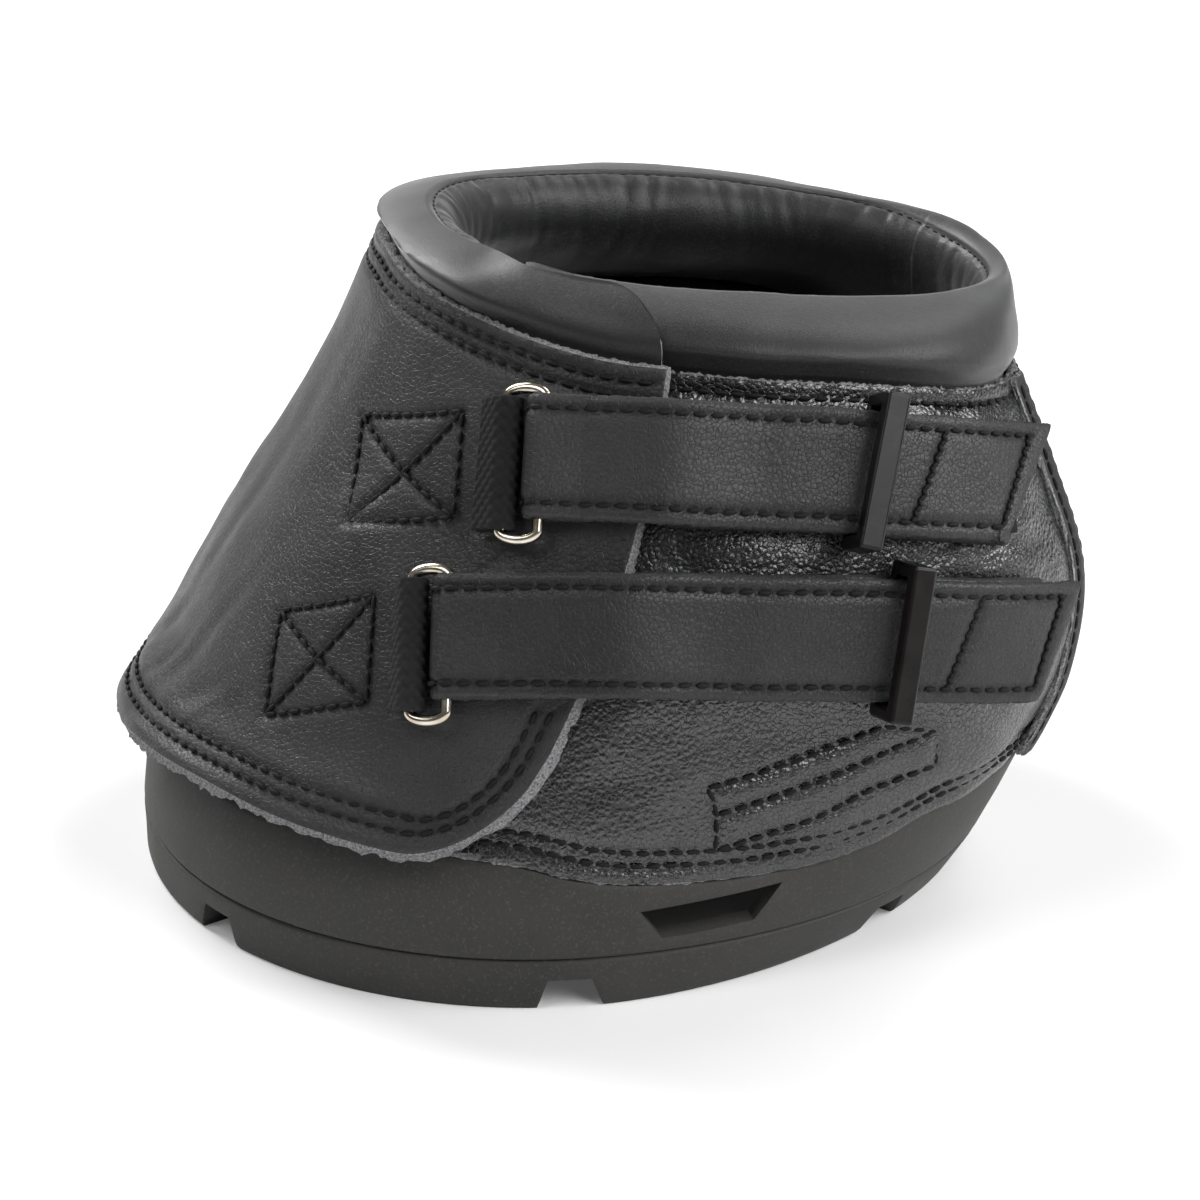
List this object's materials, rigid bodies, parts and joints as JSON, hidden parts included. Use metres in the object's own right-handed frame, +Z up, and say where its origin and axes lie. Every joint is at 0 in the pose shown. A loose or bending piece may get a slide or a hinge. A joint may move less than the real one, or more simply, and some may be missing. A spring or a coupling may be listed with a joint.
{
  "type": "horse hoof boot",
  "caption": "Strap-on horse hoof boot: lugged cup sole, leather upper with padded collar, and a front flap held by straps through oval rings with sliding keepers.",
  "frame": {"origin": "middle of the sole, on the ground face of the tread", "axes": "+Y towards the heel, +Z up, +X towards the side with the straps; the toe faces -Y"},
  "size_m": [0.1612, 0.1778, 0.1249],
  "materials": {
    "leather": "black full-grain leather, satin",
    "pebbled_leather": "black pebbled leather, glossy",
    "collar_leather": "soft black garment leather over foam",
    "lining": "black lining",
    "rubber": "matte black moulded polyurethane",
    "webbing": "black woven webbing",
    "hook_tape": "black hook-and-loop tape",
    "nickel": "nickel-plated wire",
    "plastic": "dark brown-black plastic"
  },
  "bodies": {
    "boot": {"outsole": "rubber", "near_quarter": "pebbled_leather", "far_quarter": "pebbled_leather", "heel_panel": "pebbled_leather", "near_seam_tape": "leather", "far_seam_tape": "leather", "near_stiffener": "lining", "far_stiffener": "lining", "upper_lining": "lining", "rear_collar": "collar_leather", "quarter_loop_tape": "hook_tape", "upper_strap_base": "leather", "lower_strap_base": "leather", "upper_base_loop_tape": "hook_tape", "lower_base_loop_tape": "hook_tape"},
    "flap": {"front_flap": "leather", "flap_lining": "lining", "flap_collar": "collar_leather", "flap_hook_tape": "hook_tape", "upper_webbing_loop": "webbing", "lower_webbing_loop": "webbing"},
    "upper_ring": {"upper_ring": "nickel"},
    "lower_ring": {"lower_ring": "nickel"},
    "upper_strap": {"upper_strap": "leather", "upper_strap_hook_tape": "hook_tape"},
    "lower_strap": {"lower_strap": "leather", "lower_strap_hook_tape": "hook_tape"},
    "upper_keeper": {"upper_keeper": "plastic"},
    "lower_keeper": {"lower_keeper": "plastic"}
  },
  "joints": [
    {"name": "flap_open", "type": "hinge", "parent": "boot", "child": "flap", "pos_m": [-0.03203, -0.05578, 0.07362], "axis": [-0.1015, -0.4366, -0.8939], "range_deg": [0, 100]},
    {"name": "upper_ring_swing", "type": "hinge", "parent": "flap", "child": "upper_ring", "pos_m": [0.05668, -0.02433, 0.09596], "axis": [0.4132, -0.1746, -0.8938], "range_deg": [0, 60]},
    {"name": "lower_ring_swing", "type": "hinge", "parent": "flap", "child": "lower_ring", "pos_m": [0.06059, -0.04176, 0.06596], "axis": [0.3705, -0.1359, -0.9188], "range_deg": [0, 60]},
    {"name": "upper_strap_peel", "type": "hinge", "parent": "upper_ring", "child": "upper_strap", "pos_m": [0.06029, -0.01835, 0.09646], "axis": [0.4132, -0.1746, -0.8938], "range_deg": [0, 110]},
    {"name": "lower_strap_peel", "type": "hinge", "parent": "lower_ring", "child": "lower_strap", "pos_m": [0.06465, -0.03611, 0.06676], "axis": [0.3705, -0.1359, -0.9188], "range_deg": [0, 110]},
    {"name": "upper_keeper_slide", "type": "slide", "parent": "upper_strap", "child": "upper_keeper", "axis": [-0.0573, 0.9857, -0.1583], "range_m": [-0.01, 0.006]},
    {"name": "lower_keeper_slide", "type": "slide", "parent": "lower_strap", "child": "lower_keeper", "axis": [-0.1259, 0.9749, -0.1836], "range_m": [-0.01, 0.006]}
  ]
}
